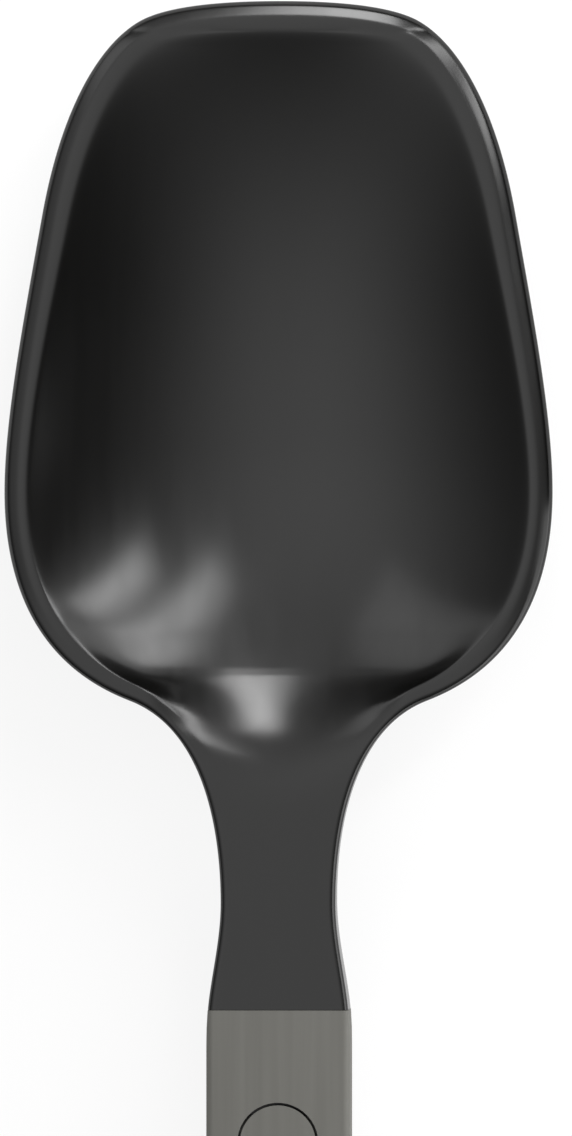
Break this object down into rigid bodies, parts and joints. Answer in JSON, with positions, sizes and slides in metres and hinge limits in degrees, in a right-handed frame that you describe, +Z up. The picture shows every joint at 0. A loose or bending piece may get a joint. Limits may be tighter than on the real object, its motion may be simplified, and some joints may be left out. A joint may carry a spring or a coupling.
{
  "type": "long-handled spoon",
  "caption": "Black serving spoon with a flat rim and squared tip, plugged into a slim grey handle with a flush round release button and a hanging hole.",
  "frame": {"origin": "on the table under the middle of the spoon's outer box", "axes": "+Y along the spoon toward the bowl's tip, +Z up out of the bowl, +X to the right"},
  "size_m": [0.065, 0.3246, 0.015],
  "materials": {
    "black_nylon": "satin moulded black nylon",
    "grey_plastic": "matt warm grey moulded plastic",
    "button_plastic": "matt warm grey moulded plastic",
    "spring_steel": "cold-rolled stainless spring strip",
    "screw_steel": "plain stainless steel",
    "eyelet_steel": "satin stainless steel"
  },
  "bodies": {
    "handle": {"handle_front_shell": "grey_plastic", "handle_back_shell": "grey_plastic", "latch_leaf": "spring_steel", "latch_screw": "screw_steel", "shell_screws": "screw_steel", "hang_eyelet": "eyelet_steel"},
    "head": {"spoon_head": "black_nylon"},
    "button": {"release_button": "button_plastic"}
  },
  "joints": [
    {"name": "head_pull", "type": "slide", "parent": "handle", "child": "head", "axis": [0, 1, 0], "range_m": [0, 0.045]},
    {"name": "button_press", "type": "slide", "parent": "handle", "child": "button", "axis": [0, 0, -1], "range_m": [0, 0.0012], "stiffness_N_per_m": 2500, "springref_m": -0.0005, "deforming": ["latch_leaf"]}
  ]
}
